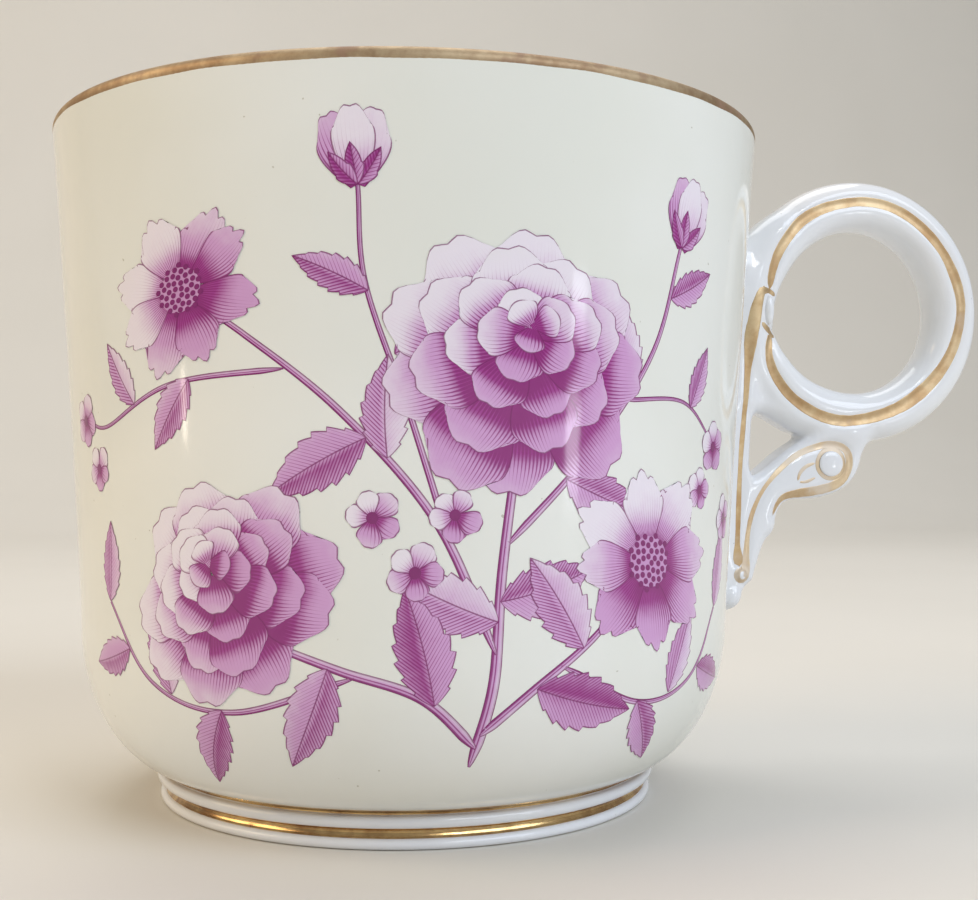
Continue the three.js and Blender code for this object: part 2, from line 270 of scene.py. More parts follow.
def make_piece(name, places, faces, material, nodes=(), slot=None, solid=True, sharp_degrees=None,
               values=None):
    """A mesh object of places in millimetres round the bowl's axis, riding on the frame's one body."""
    metres = np.array(places, dtype=np.float64).reshape(-1, 3) * MM
    metres[:, 0] += AXIS_X * MM
    mesh = bpy.data.meshes.new(name)
    mesh.vertices.add(len(metres))
    mesh.vertices.foreach_set("co", metres.ravel())
    mesh.loops.add(faces.size)
    mesh.loops.foreach_set("vertex_index", faces.astype(np.int32).ravel())
    mesh.polygons.add(len(faces))
    mesh.polygons.foreach_set("loop_start", np.arange(len(faces), dtype=np.int32) * faces.shape[1])
    mesh.update(calc_edges=True)
    for key, value in (values or {}).items():
        layer = mesh.attributes.new(key, "FLOAT", "POINT")
        layer.data.foreach_set("value", np.asarray(value, dtype=np.float32).ravel())
    work = bmesh.new()
    work.from_mesh(mesh)
    bmesh.ops.remove_doubles(work, verts=work.verts, dist=1e-7)
    if solid:
        bmesh.ops.recalc_face_normals(work, faces=work.faces)
    work.to_mesh(mesh)
    work.free()
    mesh.shade_smooth()
    if sharp_degrees:
        mesh.set_sharp_from_angle(angle=math.radians(sharp_degrees))
    mesh.materials.append(material)
    made = bpy.data.objects.new(name, mesh)
    bpy.context.scene.collection.objects.link(made)
    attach(made, "root")
    if nodes:
        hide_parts(*nodes)
    print(name, len(mesh.vertices), "places", len(mesh.polygons), "faces")
    return made


print("a grid of 3 by 4 places has", len(grid_faces(3, 4)), "quads")

# %% [markdown]
# ## The bowl's wall
# A potter throws the bowl, so it is one profile turned round the axis. The wall bends up through an
# elliptical corner, climbs almost straight and opens a little towards the rim. It is written as a formula
# of the height, because the handle and the print have to find it again. The inside follows at the wall's
# thickness.

# %% Wall formulas
BELLY, CORNER, SWEEP = 29.45, 16.0, math.radians(78)
WALL, LIP_RADIUS = 2.2, 0.8
LIP_CENTRE = LIP_HEIGHT - LIP_RADIUS
WALL_TOP = LIP_CENTRE - 0.2
CORNER_REACH = (BELLY - FOOT_SEAT) / (1 - math.cos(SWEEP))
CORNER_DROP = (CORNER - FOOT_HEIGHT) / math.sin(SWEEP)


def wall_radius(height):
    """Outside radius: an elliptical corner below, and above it a rise to the power 1.15 out to the rim."""
    h = np.asarray(height, dtype=float)
    below = np.clip((CORNER - h) / CORNER_DROP, 0, 1)
    rise = np.clip((h - CORNER) / (LIP_CENTRE - CORNER), 0, None)
    return BELLY - CORNER_REACH * (1 - np.sqrt(1 - below**2)) + (RIM - BELLY) * rise**1.15


def inner_radius(height):
    """The wall's inside: the lip's thickness at the top, growing to the full wall over the upper half."""
    below = np.clip(2 * (WALL_TOP - height) / (WALL_TOP - CORNER), 0, 1)
    return wall_radius(height) - 2 * LIP_RADIUS - (WALL - 2 * LIP_RADIUS) * below


print("wall radius at foot, corner and lip", wall_radius([FOOT_HEIGHT, CORNER, LIP_CENTRE]).round(2))

# %% [markdown]
# ## The bowl
# The profile starts in the middle of the recess under the bowl, runs out over the corner and up the wall,
# rolls over the thin lip and comes back down the inside to the middle of the floor. Turned, it is a
# closed shell.

# %% Bowl
RECESS, FLOOR, FLOOR_RADIUS = 4.4, 7.4, 18.0
RECESS_EDGE = FOOT_SEAT - 4.3


def arc(centre, wide, tall, start, end, count):
    """Part of an ellipse: centre + (wide cos a, tall sin a), with a from start to end."""
    angle = np.linspace(start, end, count)
    return np.stack([centre[0] + wide * np.cos(angle), centre[1] + tall * np.sin(angle)], -1)


def turned(profile, sides=288, closed=False):
    """Radius and height along a profile, turned round the bowl's axis: x = r cos a, y = r sin a, z = h."""
    angle = np.linspace(0, 2 * np.pi, sides, endpoint=False)
    radius, height = np.asarray(profile, dtype=float).T[:, :, None]
    places = np.stack(np.broadcast_arrays(radius * np.cos(angle), radius * np.sin(angle), height), -1)
    return places, grid_faces(len(profile), sides, wrap_rows=closed, wrap_columns=True)


heights = np.linspace(CORNER, WALL_TOP, 56)
lip = arc((RIM - LIP_RADIUS, LIP_CENTRE), LIP_RADIUS, LIP_RADIUS, 0, math.pi, 15)
corner_in = float(inner_radius(CORNER)) - FLOOR_RADIUS
floor_radius = np.linspace(FLOOR_RADIUS, 0, 12)[1:]
bowl_profile = np.concatenate([
    [[0, RECESS], [RECESS_EDGE / 2, RECESS], [RECESS_EDGE, RECESS], [RECESS_EDGE + 0.7, RECESS - 0.2],
     [RECESS_EDGE + 1.3, FOOT_HEIGHT - 0.2], [FOOT_SEAT - 1, FOOT_HEIGHT - 0.1]],
    arc((BELLY - CORNER_REACH, CORNER), CORNER_REACH, CORNER_DROP, -SWEEP, 0, 40)[:-1],
    np.stack([wall_radius(heights), heights], -1),
    lip,
    np.stack([inner_radius(heights), heights], -1)[::-1],
    arc((FLOOR_RADIUS, CORNER), corner_in, CORNER - FLOOR, 0, -math.pi / 2, 30)[1:],
    np.stack([floor_radius, FLOOR + 0 * floor_radius], -1),
])
make_piece("bowl_glazed", *turned(bowl_profile), ivory, ["bowl"], "ivory_glaze", sharp_degrees=50)

# %% [markdown]
# ## The foot ring
# A separate turned ring luted under the bowl: a round bead on the table, a hollow for the gold, and a
# second bead that tucks in under the corner. Its base is ground flat where it stood in the kiln, so the
# material fades from glaze to bare gritty clay over the lowest fifth of a millimetre.

# %% Foot ring
HOLLOW, FOOT_INSIDE = FOOT_SEAT - 0.45, FOOT_SEAT - 2.55
BEAD, BASE_BEAD, TOP_BEAD = 0.5, 0.435, 0.51
hollow_dip = [[HOLLOW - 0.1, 0.96], [HOLLOW - 0.2, 1.12], [HOLLOW - 0.25, 1.3], [HOLLOW - 0.18, 1.5]]
foot_profile = np.concatenate([
    [[FOOT_INSIDE, 0.35], [FOOT_INSIDE + 0.1, 0.12], [FOOT_INSIDE + 0.35, 0.0], [HOLLOW - 0.6, 0.0]],
    arc((HOLLOW, BASE_BEAD), BEAD, BASE_BEAD, -math.pi / 3, math.pi / 2, 14),
    hollow_dip, [[HOLLOW - 0.05, 1.66]],
    arc((FOOT_SEAT - 0.15, 2.24), BEAD, TOP_BEAD, -math.pi / 2, math.pi / 2, 16),
    [[FOOT_SEAT - 0.2, 2.8], [FOOT_SEAT - 0.3, FOOT_HEIGHT], [FOOT_SEAT - 2, FOOT_HEIGHT + 0.2],
     [FOOT_INSIDE - 0.4, FOOT_HEIGHT]],
])
foot_clay, start, surface = new_material("foot_clay")
height = start.node("ShaderNodeSeparateXYZ", None, {0: start.place()}, "Z") * (1 / MM)
bare = 1.0 - (height + start.noise(300.0, 3.0) * 0.12).ramp(0.1, 0.22)
grain = start.noise(2600.0, 4.0, 0.7)
grit = grain.blend(colour("#d6cfc0"), colour("#b9b0a0"))
bare.blend(clay(start, *WHITE_TONES), grit).into(surface, "Base Color")
(0.1 + bare * 0.6).into(surface, "Roughness")
start.bump(start.noise(POOLING, 1.0) + bare * grain * 0.3, GLAZE_RELIEF).into(surface, "Normal")
make_piece("foot_porcelain", *turned(foot_profile, closed=True), foot_clay, ["foot_ring"], "white_glaze",
           sharp_degrees=60)

# %% [markdown]
# ## Films of gold on turned clay
# A gilder holds a loaded brush to the turning cup. The band's edges waver by less than a tenth of a
# millimetre, so the film is a surface of two parameters, the angle round the cup and the way across the
# band, whose ends move in and out with the angle and sink into the glaze.

# %% Turned films
FILM_SINK = 0.12


def smooth_line(points, count, closed=False):
    """A curve through the points: Catmull-Rom pieces, sampled evenly along its length."""
    p = np.asarray(points, dtype=float)
    ends = (p[-1:], p[:2]) if closed else (2 * p[:1] - p[1:2], 2 * p[-1:] - p[-2:-1])
    q = np.concatenate([ends[0], p, ends[1]])
    t = np.linspace(0, 1, 24, endpoint=False)[None, :, None]
    a, b, c, d = (q[i : len(q) - 3 + i][:, None, :] for i in range(4))
    curve = 0.5 * (2 * b + (c - a) * t + (2 * a - 5 * b + 4 * c - d) * t**2 + (3 * b - a - 3 * c + d) * t**3)
    curve = np.concatenate([curve.reshape(-1, p.shape[1]), p[:1] if closed else p[-1:]])
    along = np.concatenate([[0], np.cumsum(np.linalg.norm(np.diff(curve[:, :2], axis=0), axis=1))])
    even = np.linspace(0, along[-1], count + 1 if closed else count)
    line = np.stack([np.interp(even, along, curve[:, i]) for i in range(p.shape[1])], -1)
    return line[:-1] if closed else line


def waver(angle, seed, size):
    """A slow irregular wave round the cup, the same at both ends of the turn: a mean of six sines."""
    rng = np.random.default_rng(seed)
    turns, phase = np.array([3, 5, 8, 13, 21, 34])[:, None], rng.uniform(0, 2 * np.pi, (6, 1))
    return size * np.mean(np.sin(turns * angle + phase) * rng.uniform(0.6, 1.6, (6, 1)), axis=0)


def turned_film(name, path, material, nodes, seed, thick, size, sides=360):
    """A film along a profile: at t across, its top stands thick (1 - t^6) off it, and its back sinks in."""
    angle = np.linspace(0, 2 * np.pi, sides, endpoint=False)
    path = smooth_line(path, 60)
    length = np.sum(np.linalg.norm(np.diff(path, axis=0), axis=1))
    tangent = np.gradient(path, axis=0)
    normal = np.stack([tangent[:, 1], -tangent[:, 0]], -1) / np.linalg.norm(tangent, axis=1)[:, None]
    t = np.linspace(-1, 1, 25)
    one, other = waver(angle, seed, size), waver(angle, seed + 1, size)
    centre, half = 0.5 + (one + other) / (2 * length), 0.5 - size / length + (one - other) / (2 * length)
    share = np.clip(centre[None] + half[None] * t[:, None], 0, 1) * (len(path) - 1)
    take = lambda rows: np.stack([np.interp(share, np.arange(len(path)), rows[:, i]) for i in (0, 1)], -1)
    base, out = take(path), take(normal)
    top = base + out * (thick * (1 - t**6) - 0.02)[:, None, None]
    section = np.concatenate([top, (base - out * FILM_SINK)[::-1]])
    radius, height = section[..., 0], section[..., 1]
    places = np.stack([radius * np.cos(angle), radius * np.sin(angle), height], -1)
    faces = grid_faces(len(section), sides, wrap_rows=True, wrap_columns=True)
    make_piece(name, places, faces, material, nodes, "gilding", sharp_degrees=60)


whole_turn = np.linspace(0, 2 * np.pi, 360)
print("a wave of 0.06 mm strays", np.ptp(waver(whole_turn, 3, 0.06)).round(3), "mm in all")

# %% [markdown]
# ## Gold on rim and foot
# Three bands: one over the lip, a thin line in the angle between bowl and foot, and one in the foot's
# hollow. Each path follows the clay's own profile, so that the film lies on it all the way across.

# %% Rim and foot gold
rim_path = np.concatenate([[[RIM, LIP_CENTRE - 0.25]], lip, [lip[-1] - [0, 0.15]]])
turned_film("rim_gold", rim_path, rim_gold, ["rim_gilding"], 3, 0.07, 0.06)
line_path = np.array([FOOT_SEAT, FOOT_HEIGHT]) + [
    [-0.17, -0.36], [-0.21, -0.18], [-0.1, -0.02], [0.25, 0.07], [0.6, 0.15]]
turned_film("foot_line_gold", line_path, foot_gold, ["foot_line_gilding"], 5, 0.05, 0.05)
band_path = [[HOLLOW + 0.12, 0.83], *hollow_dip, [HOLLOW - 0.03, 1.67], [HOLLOW + 0.2, 1.8]]
turned_film("foot_band_gold", band_path, foot_gold, ["foot_band_gilding"], 7, 0.05, 0.06)

# %% [markdown]
# ## Lines on the handle
# The handle's faces carry fine mouldings, and the gold follows them: a line round the ring with a knot at
# each end, one down the strap, and one up the scroll that rolls round its roundel. Each is a smooth curve
# through a few points in the handle's plane. The clay needs them first, because they lie in shallow
# grooves.

# %% Handle lines
ring_line = smooth_line([
    (35.62, 47.15), (35.72, 48.64), (36.34, 50.63), (37.54, 52.53), (39.15, 54.21), (41.32, 55.42),
    (43.77, 56.08), (45.97, 56.31), (48.47, 55.99), (50.9, 54.95), (53.05, 53.35), (54.7, 51.5),
    (55.8, 49.5), (56.5, 47.5), (56.7, 45.76), (56.42, 43.71), (55.6, 41.39), (54.15, 39.2), (52.2, 37.3),
    (49.98, 35.85), (47.65, 34.95), (45.44, 34.47), (43.24, 34.33), (41.06, 34.8), (39.17, 35.73),
    (37.56, 36.95), (36.3, 38.53), (35.6, 40.0), (35.45, 41.3), (35.7, 42.6), (36.0, 43.1)], 110)
upper_knot = smooth_line([(34.0, 46.3), (34.7, 46.85), (35.5, 47.05), (36.3, 46.6)], 16)
lower_knot = smooth_line([(34.6, 43.9), (35.1, 43.4), (35.7, 43.05), (36.3, 42.5)], 16)
strap_line = smooth_line([
    (35.3, 47.35), (34.55, 46.9), (34.1, 45.6), (33.85, 44.2), (33.5, 42.2), (33.26, 38.7), (33.04, 35.0),
    (32.73, 31.4), (32.52, 27.7), (32.39, 24.0), (32.33, 21.4), (32.6, 19.95)], 70)
scroll_line = smooth_line([
    (33.05, 18.3), (33.25, 19.4), (33.25, 20.6), (33.5, 23.3), (34.05, 25.4), (35.15, 27.5), (36.8, 29.35),
    (38.7, 30.85), (40.6, 31.65), (42.5, 31.95), (44.0, 31.4), (44.4, 30.1), (43.9, 28.65), (42.6, 27.8),
    (40.75, 27.35), (38.6, 27.05), (37.3, 26.7), (36.6, 25.9), (36.2, 24.9)], 96)
upper_curl = smooth_line([(38.75, 28.35), (39.0, 29.1), (39.65, 29.75), (40.6, 30.1)], 20)
lower_curl = smooth_line([(38.95, 28.2), (39.7, 28.25), (40.65, 28.65)], 16)
ROUNDEL, TIE_BEAD, TIP_BEAD, TIP_DROP = (42.3, 30.03), (35.42, 45.15), (32.75, 19.1), (32.0, 16.8)
long_lines = (ring_line, strap_line, scroll_line)
lengths = [np.linalg.norm(np.diff(line, axis=0), axis=1).sum() for line in long_lines]
print("lines of ring, strap and scroll in mm", np.round(lengths, 1))

# %% [markdown]
# ## Outlines of the handle
# Seen square on, the handle is a ring and four flat forms that overlap: the strap against the wall, the
# web under the ring, the shoulder over it and the scroll. The strap follows the wall's formula. The
# others are closed smooth curves.

# %% Handle outlines
STRAP_TOP, STRAP_SEAM, STRAP_SUNK = 51.5, 0.3, 0.9
TIP_LENGTH, TIP_START, TIP_RISE, TIP_ROUND = 3.0, 0.5, 2.9, 3.2
TOP_RISE, TOP_ROUND = 3.7, 7.0


def strap_outline():
    """The strap from its rounded tip to where it runs out under the rim, its back sunk in the wall."""
    z = np.concatenate([np.linspace(TIP_Z, TIP_Z + TIP_LENGTH, 14),
                        np.linspace(TIP_Z + TIP_LENGTH, STRAP_TOP, 40)[1:]])
    round_off = lambda share: np.sqrt(1 - (1 - np.clip(share, 0, 1)) ** 2)
    tip = TIP_START + TIP_RISE * round_off((z - TIP_Z) / TIP_ROUND)
    top = TOP_RISE * round_off((STRAP_TOP - z) / TOP_ROUND) - STRAP_SEAM
    front, back = wall_radius(z) + STRAP_SEAM + np.minimum(tip, top), wall_radius(z) - STRAP_SUNK
    return np.concatenate([np.stack([front, z], -1), np.stack([back, z], -1)[::-1]])


strap_flat = strap_outline()
web_flat = smooth_line([
    (32.6, 42.0), (32.4, 38.5), (32.7, 35.9), (34.3, 35.3), (36.0, 34.65), (37.5, 33.9), (38.9, 33.3),
    (41.6, 33.2), (42.0, 35.0), (39.2, 37.4), (36.8, 40.6)], 48, closed=True)
shoulder_flat = smooth_line([
    (31.0, 46.5), (34.2, 46.0), (36.2, 48.4), (37.6, 51.0), (38.1, 52.8), (37.6, 54.1), (36.2, 54.0),
    (34.72, 53.1), (33.85, 52.45), (32.2, 51.1), (31.0, 50.1)], 48, closed=True)
scroll_flat = smooth_line([
    (32.3, 18.6), (34.0, 18.3), (34.5, 19.5), (34.85, 20.6), (35.2, 21.6), (35.65, 22.5), (36.35, 23.2),
    (36.65, 24.0), (36.85, 24.9), (37.4, 25.95), (38.6, 26.45), (41.2, 26.6), (43.6, 27.3), (45.2, 28.6),
    (46.0, 30.5), (46.15, 32.6), (44.5, 34.0), (41.5, 33.5), (39.5, 32.35), (37.6, 31.15), (36.25, 30.05),
    (35.25, 29.3), (34.3, 28.85), (33.0, 28.75)], 90, closed=True)
print("outline points", [len(flat) for flat in (strap_flat, web_flat, scroll_flat, shoulder_flat)])

# %% [markdown]
# ## Distances
# A solid can be written as a distance: how far a place is from the surface, negative inside. In the plane
# it is the distance to an outline. Two more formulas give an outline a rounded thickness, and join two
# solids with a fillet, which is what wet clay does where it is pressed together.


# %% Distances
def line_distance(x, z, line, closed=False):
    """Distance in the handle's plane from places to a line of short straight pieces."""
    best = np.full(x.shape, np.inf)
    ends = np.roll(line, -1, axis=0) if closed else line[1:]
    for (ax, az), (bx, bz) in zip(line, ends):
        ex, ez = bx - ax, bz - az
        share = np.clip(((x - ax) * ex + (z - az) * ez) / (ex * ex + ez * ez + 1e-12), 0, 1)
        best = np.minimum(best, (x - ax - share * ex) ** 2 + (z - az - share * ez) ** 2)
    return np.sqrt(best)


def outline_distance(x, z, outline):
    """The same distance, negative inside a closed outline: where a line to the right cuts it oddly often."""
    inside = np.zeros(x.shape, bool)
    for (ax, az), (bx, bz) in zip(outline, np.roll(outline, -1, axis=0)):
        cut = (az > z) != (bz > z)
        inside ^= cut & (x < ax + (z - az) * (bx - ax) / (bz - az if bz != az else 1.0))
    return np.where(inside, -1.0, 1.0) * line_distance(x, z, outline, closed=True)


def slab(flat, y, half, edge):
    """A flat outline given thickness: half its width along y, with edges rounded to a radius."""
    across, through = flat + edge, np.abs(y) - half + edge
    return (np.minimum(np.maximum(across, through), 0)
            + np.hypot(np.maximum(across, 0), np.maximum(through, 0)) - edge)


def joined(a, b, reach):
    """The smaller of two distances, rounded off where they differ by less than the reach."""
    near = np.clip(1 - np.abs(a - b) / reach, 0, 1)
    return np.minimum(a, b) - near**2 * reach / 4


middle = outline_distance(np.array([ROUNDEL[0]]), np.array([ROUNDEL[1]]), scroll_flat)
print("the roundel's middle lies", -middle.round(2), "mm inside the scroll")

# %% [markdown]
# ## The handle's formula
# The handle was pressed in a mould and stuck on while soft, so ring, strap, web and scroll flow into each
# other under one glaze. A grid of two parameters has no place for such branches. Instead one formula
# gives every place a number that is negative inside the clay: the smallest of the parts' distances, with
# filleted joints, and with the grooves and beads of the faces cut into it or raised from it. A slab is
# given by half its thickness, the radius of its edges and the size of its fillet: web, scroll, shoulder.

# %% Handle formula
RING_HALF, RING_FACE, RING_ROUND = 2.5, 2.72, 2.3
NECK, NECK_TURN, NECK_REACH = 0.65, 0.28, 0.66
GROOVES = ((ring_line, 0.34, 0.62), (strap_line[16:], 0.16, 0.5), (scroll_line, 0.2, 0.45))
SWELLINGS = ((*TIP_DROP, 0.95, 1.0, 0.4), (*TIP_BEAD, 0.55, 0.55, 0.4), (*ROUNDEL, 1.35, 1.35, 0.15))
STRAP_HALF, STRAP_EDGE, ROOT, ROOT_REACH = 2.35, 1.1, 0.5, 0.6
SLABS = ((2.0, 1.3, 1.6), (2.25, 1.1, 0.8), (2.2, 1.2, 1.2))
RING_SLOPE, RING_FILLET, RELIEF_START = 2.55, 1.9, 1.2


def plane_part(x, z):
    """What the formula needs from the plane alone: outline distances, and the relief of the faces."""
    groove = sum(deep * np.exp(-((line_distance(x, z, line) / wide) ** 2)) for line, deep, wide in GROOVES)
    swelling = sum(tall * np.exp(-(((x - cx) / rx) ** 2 + ((z - cz) / rz) ** 2) ** 2)
                   for cx, cz, rx, rz, tall in SWELLINGS)
    flats = [outline_distance(x, z, flat) for flat in (strap_flat, web_flat, scroll_flat, shoulder_flat)]
    return flats, groove - swelling


def handle_field(x, y, z, plane=None):
    """Negative inside the clay. The ring is a rounded band about its centre, narrower inside at the tie."""
    (strap, *others), relief = plane or plane_part(x, z)
    neck = NECK * np.exp(-(((np.arctan2(z - RING_Z, RING_X - x) + NECK_TURN) / NECK_REACH) ** 2))
    out = np.abs(np.hypot(x - RING_X, z - RING_Z) - (RING_RADIUS - RING_HALF) - neck) / (RING_HALF - neck)
    band = (out**RING_ROUND + (np.abs(y) / RING_FACE) ** RING_ROUND) ** (1 / RING_ROUND)
    root = ROOT * np.exp(-np.clip(x - wall_radius(z), 0, None) / ROOT_REACH)
    solid = slab(strap, y, STRAP_HALF + root, STRAP_EDGE)
    for flat, (half, edge, fillet) in zip(others, SLABS):
        solid = joined(solid, slab(flat, y, half, edge), fillet)
    solid = joined(solid, (band - 1) * RING_SLOPE, RING_FILLET)
    return solid + relief * np.clip(np.abs(y) / RELIEF_START, 0, 1)


crest = handle_field(np.array([RING_X + RING_RADIUS]), np.array([0.0]), np.array([RING_Z]))
print("the formula on the ring's outer edge gives", crest.round(3))

# %% [markdown]
# ## Drawing where a formula is zero
# The formula is sampled on a fine block of places. Each little cube that holds both signs gets one vertex
# at the mean of its edges' crossings, and each crossed edge gets a quad between the four cubes round it.


# %% Surface net
def surface_net(field, low, step):
    """Places and quads of the sheet where a sampled field changes sign."""
    nx, ny, nz = np.array(field.shape) - 1
    view = lambda o: field[o[0] : o[0] + nx, o[1] : o[1] + ny, o[2] : o[2] + nz]
    total, count = np.zeros((nx, ny, nz, 3)), np.zeros((nx, ny, nz))
    for start in np.ndindex(2, 2, 2):
        for axis in (a for a in range(3) if start[a] == 0):
            a, b = view(start), view([start[i] + (i == axis) for i in range(3)])
            crossing = (a < 0) != (b < 0)
            share = np.divide(a, a - b, out=np.zeros_like(a), where=crossing)
            total[..., axis] += share
            total += crossing[..., None] * np.array(start)
            count += crossing
    mixed = count > 0
    number = np.full(mixed.shape, -1)
    number[mixed] = np.arange(mixed.sum())
    places = (np.argwhere(mixed) + total[mixed] / count[mixed][:, None]) * step + low
    quads = []
    for axis in range(3):
        low_end, high_end = np.delete(field, -1, axis) < 0, np.delete(field, 0, axis) < 0
        at = np.argwhere(low_end != high_end)
        side, up = np.eye(3, dtype=int)[[(axis + 1) % 3, (axis + 2) % 3]]
        cells = np.stack([at - side - up, at - up, at, at - side], 1)
        quad = number[cells[..., 0], cells[..., 1], cells[..., 2]]
        leaving = low_end[tuple(at.T)]
        quads.append(np.where(leaving[:, None], quad, quad[:, ::-1]))
    return places, np.concatenate(quads)


STEP, LOW, HIGH = 0.2, np.array([28.0, -3.4, 14.4]), np.array([60.2, 3.4, 59.6])
axes = [LOW[i] + STEP * np.arange(int(round((HIGH[i] - LOW[i]) / STEP)) + 1) for i in range(3)]
spread = lambda flat: flat[:, None, :]
flat_x, flat_z = np.meshgrid(axes[0], axes[2], indexing="ij")
flats, relief = plane_part(flat_x, flat_z)
sampled = handle_field(spread(flat_x), axes[1][None, :, None], spread(flat_z),
                       ([spread(flat) for flat in flats], spread(relief)))
places, quads = surface_net(sampled, LOW, STEP)
print("a block of", sampled.shape, "places holds a sheet of", len(quads), "quads")

# %% [markdown]
# ## The handle
# Two Newton steps slide every vertex along the formula's slope onto the true surface, so that the glaze
# reflects without stairs. One smooth piece then stands for the four solids that the potter stuck
# together.

# %% Handle
NUDGE, LONGEST_SLIDE = 0.01, 0.1
for _ in range(2):
    x, y, z = places.T
    here = plane_part(x, z)
    field = handle_field(x, y, z, here)
    slope = np.stack([handle_field(x + NUDGE, y, z), handle_field(x, y + NUDGE, z, here),
                      handle_field(x, y, z + NUDGE)])
    slope = (slope - field) / NUDGE
    slide = np.clip(field, -LONGEST_SLIDE, LONGEST_SLIDE) * slope / np.maximum((slope**2).sum(0), 0.2)
    places = places - slide.T
make_piece("handle_porcelain", places, quads, white,
           ["handle_strap", "handle_ring", "handle_gusset", "handle_scroll"], "white_glaze")

# %% [markdown]
# ## Gold lines laid on clay
# The gilder follows the mouldings by hand. A line is a path in the handle's plane with a width that
# swells and thins. Across it runs a flat oval section, dropped onto the clay by halving the distance to
# the surface until it is found. Front and back are mirror images.

# %% Gilt lines
GILT_SIDES, HALVINGS = 16, 21


def face_height(x, z):
    """How far out the handle's face lies at places in its plane, by halving the span again and again."""
    here = plane_part(x, z)
    inside, outside = np.zeros(x.shape), np.full(x.shape, 4.0)
    for _ in range(HALVINGS):
        middle = (inside + outside) / 2
        under = handle_field(x, middle, z, here) < 0
        inside, outside = np.where(under, middle, inside), np.where(under, outside, middle)
    return inside


def gilt_line(line, widths, seed, closed=False, thick=0.045):
    """A line's film: across it the oval (w/2 cos a, thick sin a) on the face, its hidden half sunk in."""
    count = len(line)
    share = np.linspace(0, 1, count)
    rng = np.random.default_rng(seed)
    wobble = 1 + 0.05 * np.convolve(rng.normal(size=count + 4), np.ones(5) / 2.2, "valid")
    width = np.interp(share, np.linspace(0, 1, len(widths)), widths) * wobble
    if not closed:
        width = width * np.clip(np.minimum(share, 1 - share) * count / 1.5, 0, 1) ** 0.5
    ahead = (np.roll(line, -1, 0) - np.roll(line, 1, 0)) if closed else np.gradient(line, axis=0)
    side = np.stack([ahead[:, 1], -ahead[:, 0]], -1) / np.linalg.norm(ahead, axis=1)[:, None]
    angle = np.linspace(0, 2 * np.pi, GILT_SIDES, endpoint=False)
    flat = line[:, None] + side[:, None] * (width[:, None] / 2 * np.cos(angle))[..., None]
    lift = np.abs(np.sin(angle))
    rise = np.where(np.sin(angle) > 0, thick * lift**0.5, -FILM_SINK * lift)
    height = face_height(flat[..., 0], flat[..., 1]) + rise - 0.015
    return np.stack([flat[..., 0], height, flat[..., 1]], -1), grid_faces(count, GILT_SIDES, closed, True)


def both_faces(places):
    """A shape on the handle's back face, and its mirror image in the handle's plane for the front."""
    return (("front", places * np.array([1.0, -1.0, 1.0])), ("back", places))


def gild(name, parts, material):
    """One gold piece of several lines for each face."""
    offsets = np.cumsum([0] + [p.reshape(-1, 3).shape[0] for p, _ in parts])
    places = np.concatenate([p.reshape(-1, 3) for p, _ in parts])
    faces = np.concatenate([f + o for (_, f), o in zip(parts, offsets)])
    for face, at in both_faces(places):
        make_piece(f"{name}_gold_{face}", at, faces, material, [f"{name}_gilding_{face}"], "gilding")


print("the strap's face lies", face_height(*strap_line[35:36].T).round(2), "mm from the handle's plane")

# %% [markdown]
# ## Gold on the handle
# The widths below are read along each line from its start. The ring's line is broad and even, the strap's
# starts broad at the tie, thins to a thread and ends in a drop, and the scroll's is broadest under the
# roundel. Small rings close round the roundel and the bead at the tip, and two short curls fill the
# scroll's throat.


# %% Handle gold
def circle(centre, radius, count):
    """Places round a centre: centre + radius (cos a, sin a)."""
    return arc(centre, radius, radius, 0, 2 * np.pi, count + 1)[:-1]


ring_widths = [0.8, 1.0, 1.1, 1.15, 1.1, 1.0, 1.0, 1.05, 1.1, 1.05, 1.1, 1.2, 1.25, 1.2, 1.15, 1.1, 1.0,
               0.95, 0.7]
strap_widths = [0.7, 1.2, 1.4, 1.1, 0.75, 0.6, 0.55, 0.55, 0.5, 0.5, 0.5, 0.5, 0.6, 1.7]
scroll_widths = [0.7, 0.9, 0.6, 0.5, 0.45, 0.42, 0.45, 0.55, 0.6, 0.65, 0.7, 0.75, 0.85, 0.95, 1.0, 1.05,
                 0.9, 0.6, 0.35]
gild("ring", [gilt_line(ring_line, ring_widths, 11), gilt_line(upper_knot, [0.5, 0.6, 0.4], 17),
              gilt_line(lower_knot, [0.4, 0.55, 0.45], 18)], handle_gold)
gild("strap", [gilt_line(strap_line, strap_widths, 12)], strap_gold)
gild("scroll", [gilt_line(scroll_line, scroll_widths, 13), gilt_line(upper_curl, [0.25, 0.4, 0.25], 15),
                gilt_line(lower_curl, [0.2, 0.32, 0.2], 19),
                gilt_line(circle(ROUNDEL, 1.45, 40), [0.52, 0.42, 0.52], 14, True),
                gilt_line(circle(TIP_BEAD, 0.6, 24), [0.4, 0.5, 0.4], 16, True)], scroll_gold_painted_highlight)

# %% [markdown]
# ## Beads
# Two small glazed beads sit on each face: an oval one where the ring is tied to the strap, and the round
# one on the scroll's rolled end. A bead is a little more than half an ellipsoid, so that its edge is sunk
# in the clay.

# %% Beads
DOME = math.radians(111.6)


def dome(centre, wide, tall, high):
    """At the polar angle p and the turn q: (wide sin p cos q, high cos p, tall sin p sin q) on the face."""
    polar, turn = np.linspace(0, DOME, 14)[:, None], np.linspace(0, 2 * np.pi, 32, endpoint=False)[None]
    x, z = centre[0] + wide * np.sin(polar) * np.cos(turn), centre[1] + tall * np.sin(polar) * np.sin(turn)
    base = float(face_height(np.array(centre[:1]), np.array(centre[1:]))[0])
    places = np.stack(np.broadcast_arrays(x, base + high * np.cos(polar), z), -1)
    return places, grid_faces(*x.shape, wrap_columns=True)


